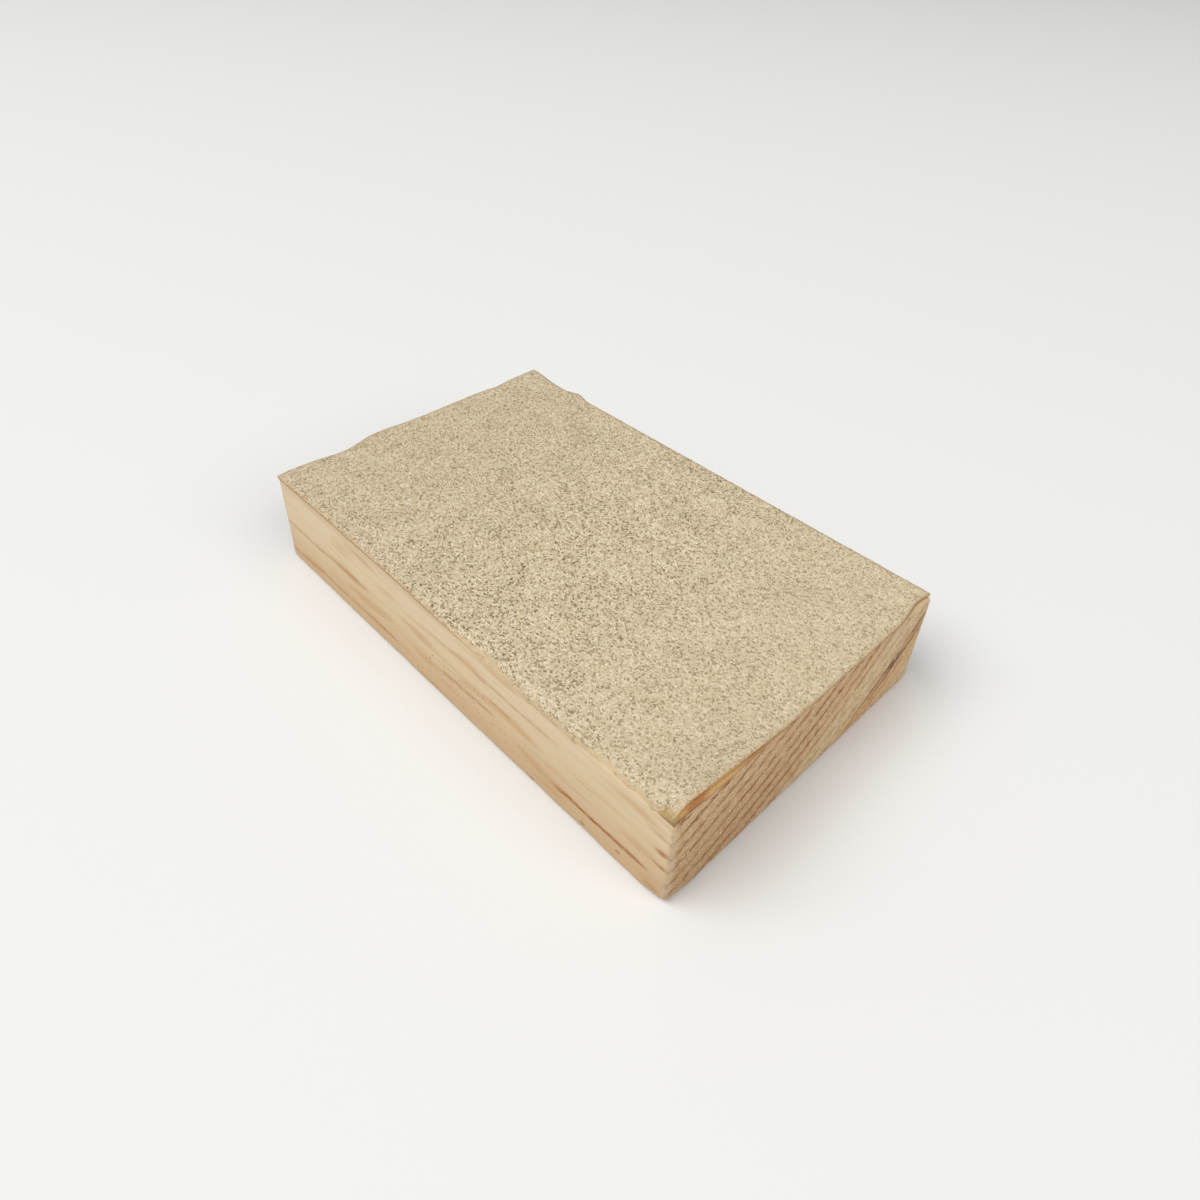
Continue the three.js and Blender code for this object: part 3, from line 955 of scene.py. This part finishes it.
def random_turns(chance, count):
    """count random rotation matrices."""
    q = chance.normal(size=(count, 4))
    q /= np.linalg.norm(q, axis=1, keepdims=True)
    w, x, y, z = q.T
    return np.stack([
        1 - 2 * (y * y + z * z), 2 * (x * y - z * w), 2 * (x * z + y * w),
        2 * (x * y + z * w), 1 - 2 * (x * x + z * z), 2 * (y * z - x * w),
        2 * (x * z - y * w), 2 * (y * z + x * w), 1 - 2 * (x * x + y * y),
    ], axis=-1).reshape(count, 3, 3)


def make_grains():
    """The proud grains, and a few larger white chips."""
    chance = np.random.default_rng(7)
    count = GRAIN_COUNT + CHIP_COUNT
    x = chance.uniform(-HALF_LENGTH + 0.2, HALF_LENGTH - 0.2, count)
    y = chance.uniform(-HALF_WIDTH + 0.2, HALF_WIDTH - 0.2, count)
    is_chip = np.arange(count) >= GRAIN_COUNT
    kept = is_chip | (chance.random(count) > np.maximum(rubbed_edge(x, y), bare_crease(x, y)))
    x, y, is_chip = x[kept], y[kept], is_chip[kept]
    count = len(x)
    size = np.where(is_chip, chance.uniform(0.22, 0.34, count), chance.uniform(0.1, 0.17, count))
    corners = len(GRAIN_POINTS)
    shape = GRAIN_POINTS * chance.uniform(0.7, 1.25, (count, corners, 3))
    shape = np.einsum("nij,nkj->nki", random_turns(chance, count), shape) * size[:, None, None]
    centre = grit_floor(x, y)
    centre[:, 2] += grit_height(x, y) - 0.02
    points = (centre[:, None, :] + shape).reshape(-1, 3)
    faces = (GRAIN_FACES[None] + corners * np.arange(count)[:, None, None]).reshape(-1, 3)
    grains = make_mesh("proud_grains", points, faces, smooth=False)
    tone = np.where(is_chip, 1.0, chance.random(count) ** 0.7)
    store(grains, "tone", np.repeat(tone, corners))
    return grains


# How much of the gap under the loose corner the glue fills, along Y, as soft bumps.
GLUE_FILL = 0.88
GLUE_BUMPS = [(-31, 1.5, 0.1), (-27.6, 2.2, 0.1), (-20, 3, -0.2)]
GLUE_MARGIN = 0.45
GLUE_REACH_OUT = 0.38  # how much of that margin it covers there


def make_glue():
    """The dried film. Under the loose corner it pulled up with the sheet and fills most of the gap."""
    end_x = HALF_LENGTH - GLUE_MARGIN
    x, along = np.meshgrid(spread(-end_x, end_x, 0.6), spread(0, 1, 0.01))

    # The film starts behind the arris, and comes out to the -Y side only at the loose corner.
    start = -HALF_WIDTH + 0.3 + ARRIS_REACH * (1 - smoothstep(x, 42, 48))
    y = start + (HALF_WIDTH - GLUE_MARGIN - start) * along

    # There its edge also comes out to the sheet's, and follows the cuts and the wood's rounded top edge.
    near_end = smoothstep(x, HALF_LENGTH - 3, HALF_LENGTH - 1)
    x = x + GLUE_REACH_OUT * near_end * smoothstep(corner_lift(x, y), 0.1, 0.8)
    lift = corner_lift(x, y)
    at_x = x + np.clip(1 - (HALF_LENGTH - x) / CUT_DEPTH, 0, 1) * cut_offset(PLUS_X_CUT, y)
    over_edge = np.clip(at_x - (HALF_LENGTH - TOP_EDGE_RADIUS), 0, TOP_EDGE_RADIUS)
    round_down = TOP_EDGE_RADIUS - np.sqrt(TOP_EDGE_RADIUS**2 - over_edge**2)
    lower = np.stack([at_x, y, WOOD_TOP - arris_droop(x, y) - round_down], axis=-1)
    lower = fray(lower, 0.1, seed=61)

    # The film is thinner all round its edge.
    within = np.zeros_like(x)
    within[1:-1, 1:-1] = 1
    strings = smooth_noise(lower.reshape(-1, 3), (3.0, 0.8, 1.0), seed=62).reshape(x.shape)
    fill = np.clip(GLUE_FILL + cut_offset(GLUE_BUMPS, y) + 0.08 * strings, 0.1, 0.97)
    upper = lower.copy()
    upper[..., 2] += (SHEET_LEVEL - WOOD_TOP) * (0.35 + 0.6 * within) + fill * lift + round_down
    return make_mesh("dried_glue", *slab(lower, upper))


def dress(piece, finish, slot, *nodes):
    """Gives a piece its material and its body, and hides the CAD nodes that it stands in for. slot is not
    used.
    """
    piece.data.materials.append(finish)
    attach(piece, "root")
    if nodes:
        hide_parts(*nodes)


# ---------------------------------------------------------------- camera, floor and light

# Angles are in degrees. The distance and the target are in mm.
CAMERA_AZIMUTH = 45.75
CAMERA_ELEVATION = 37.02
CAMERA_DISTANCE = 197.9
CAMERA_TARGET = (-24.4, 23.3, 0.0)
CAMERA_ROLL = 1.6
CAMERA_LENS = 26.87  # mm, on a sensor 36 mm wide
CAMERA_SHIFT = (0.0158, -0.0788)


def make_camera():
    """The camera, with no depth of field."""
    azimuth = math.radians(CAMERA_AZIMUTH)
    elevation = math.radians(CAMERA_ELEVATION)
    back = Vector((
        math.sin(azimuth) * math.cos(elevation),
        -math.cos(azimuth) * math.cos(elevation),
        math.sin(elevation),
    ))
    data = bpy.data.cameras.new("camera")
    data.lens = CAMERA_LENS
    data.sensor_width = 36
    data.shift_x, data.shift_y = CAMERA_SHIFT
    data.clip_start = 0.01
    camera = bpy.data.objects.new("camera", data)
    turn = (-back).to_track_quat("-Z", "Y").to_matrix().to_4x4()
    place = Matrix.Translation((Vector(CAMERA_TARGET) + back * CAMERA_DISTANCE) * MM)
    camera.matrix_world = place @ turn @ Matrix.Rotation(math.radians(CAMERA_ROLL), 4, "Z")
    bpy.context.scene.collection.objects.link(camera)
    bpy.context.scene.camera = camera


def make_floor():
    half = 8.0  # metres, so that its edge is far out of view
    mesh = bpy.data.meshes.new("floor")
    corners = [(-half, -half, 0), (half, -half, 0), (half, half, 0), (-half, half, 0)]
    mesh.from_pydata(corners, [], [(0, 1, 2, 3)])
    floor = bpy.data.objects.new("floor", mesh)
    finish = Finish("floor", roughness=0.7, specular=0.2)
    finish.colour(srgb(226, 226, 224))
    mesh.materials.append(finish.material)
    bpy.context.scene.collection.objects.link(floor)


def make_light(name, azimuth, elevation, distance, size, power):
    """A square soft light that faces the block. Angles are in degrees, lengths in metres, power in watts."""
    a, e = math.radians(azimuth), math.radians(elevation)
    away = Vector((math.sin(a) * math.cos(e), -math.cos(a) * math.cos(e), math.sin(e)))
    data = bpy.data.lights.new(name, "AREA")
    data.size = size
    data.energy = power
    light = bpy.data.objects.new(name, data)
    light.location = away * distance
    light.rotation_mode = "QUATERNION"
    light.rotation_quaternion = (-away).to_track_quat("-Z", "Y")
    bpy.context.scene.collection.objects.link(light)


def make_world(strength):
    world = bpy.data.worlds.new("studio")
    world.use_nodes = True
    background = world.node_tree.nodes["Background"]
    background.inputs["Color"].default_value = (1, 1, 1, 1)
    background.inputs["Strength"].default_value = strength
    bpy.context.scene.world = world


# ---------------------------------------------------------------- the scene

make_camera()
make_floor()
make_world(strength=0.38)
make_light("key", azimuth=-25, elevation=58, distance=2.5, size=1.8, power=49)
make_light("fill", azimuth=95, elevation=40, distance=2.5, size=1.6, power=22)
bpy.context.scene.view_settings.view_transform = "Standard"

dress(make_block(), pine_finish(), "pine", "wood_block")
dress(make_glue(), glue_finish(), "glue", "glue_film")
dress(make_paper(), paper_finish(), "backing_paper", "paper_backing")
dress(make_resin(), resin_finish(), "bond_resin", "resin_make_coat")
dress(make_grit(), grit_finish(), "abrasive_grit", "grit_coat")
dress(make_grains(), grain_finish(), "abrasive_grit")
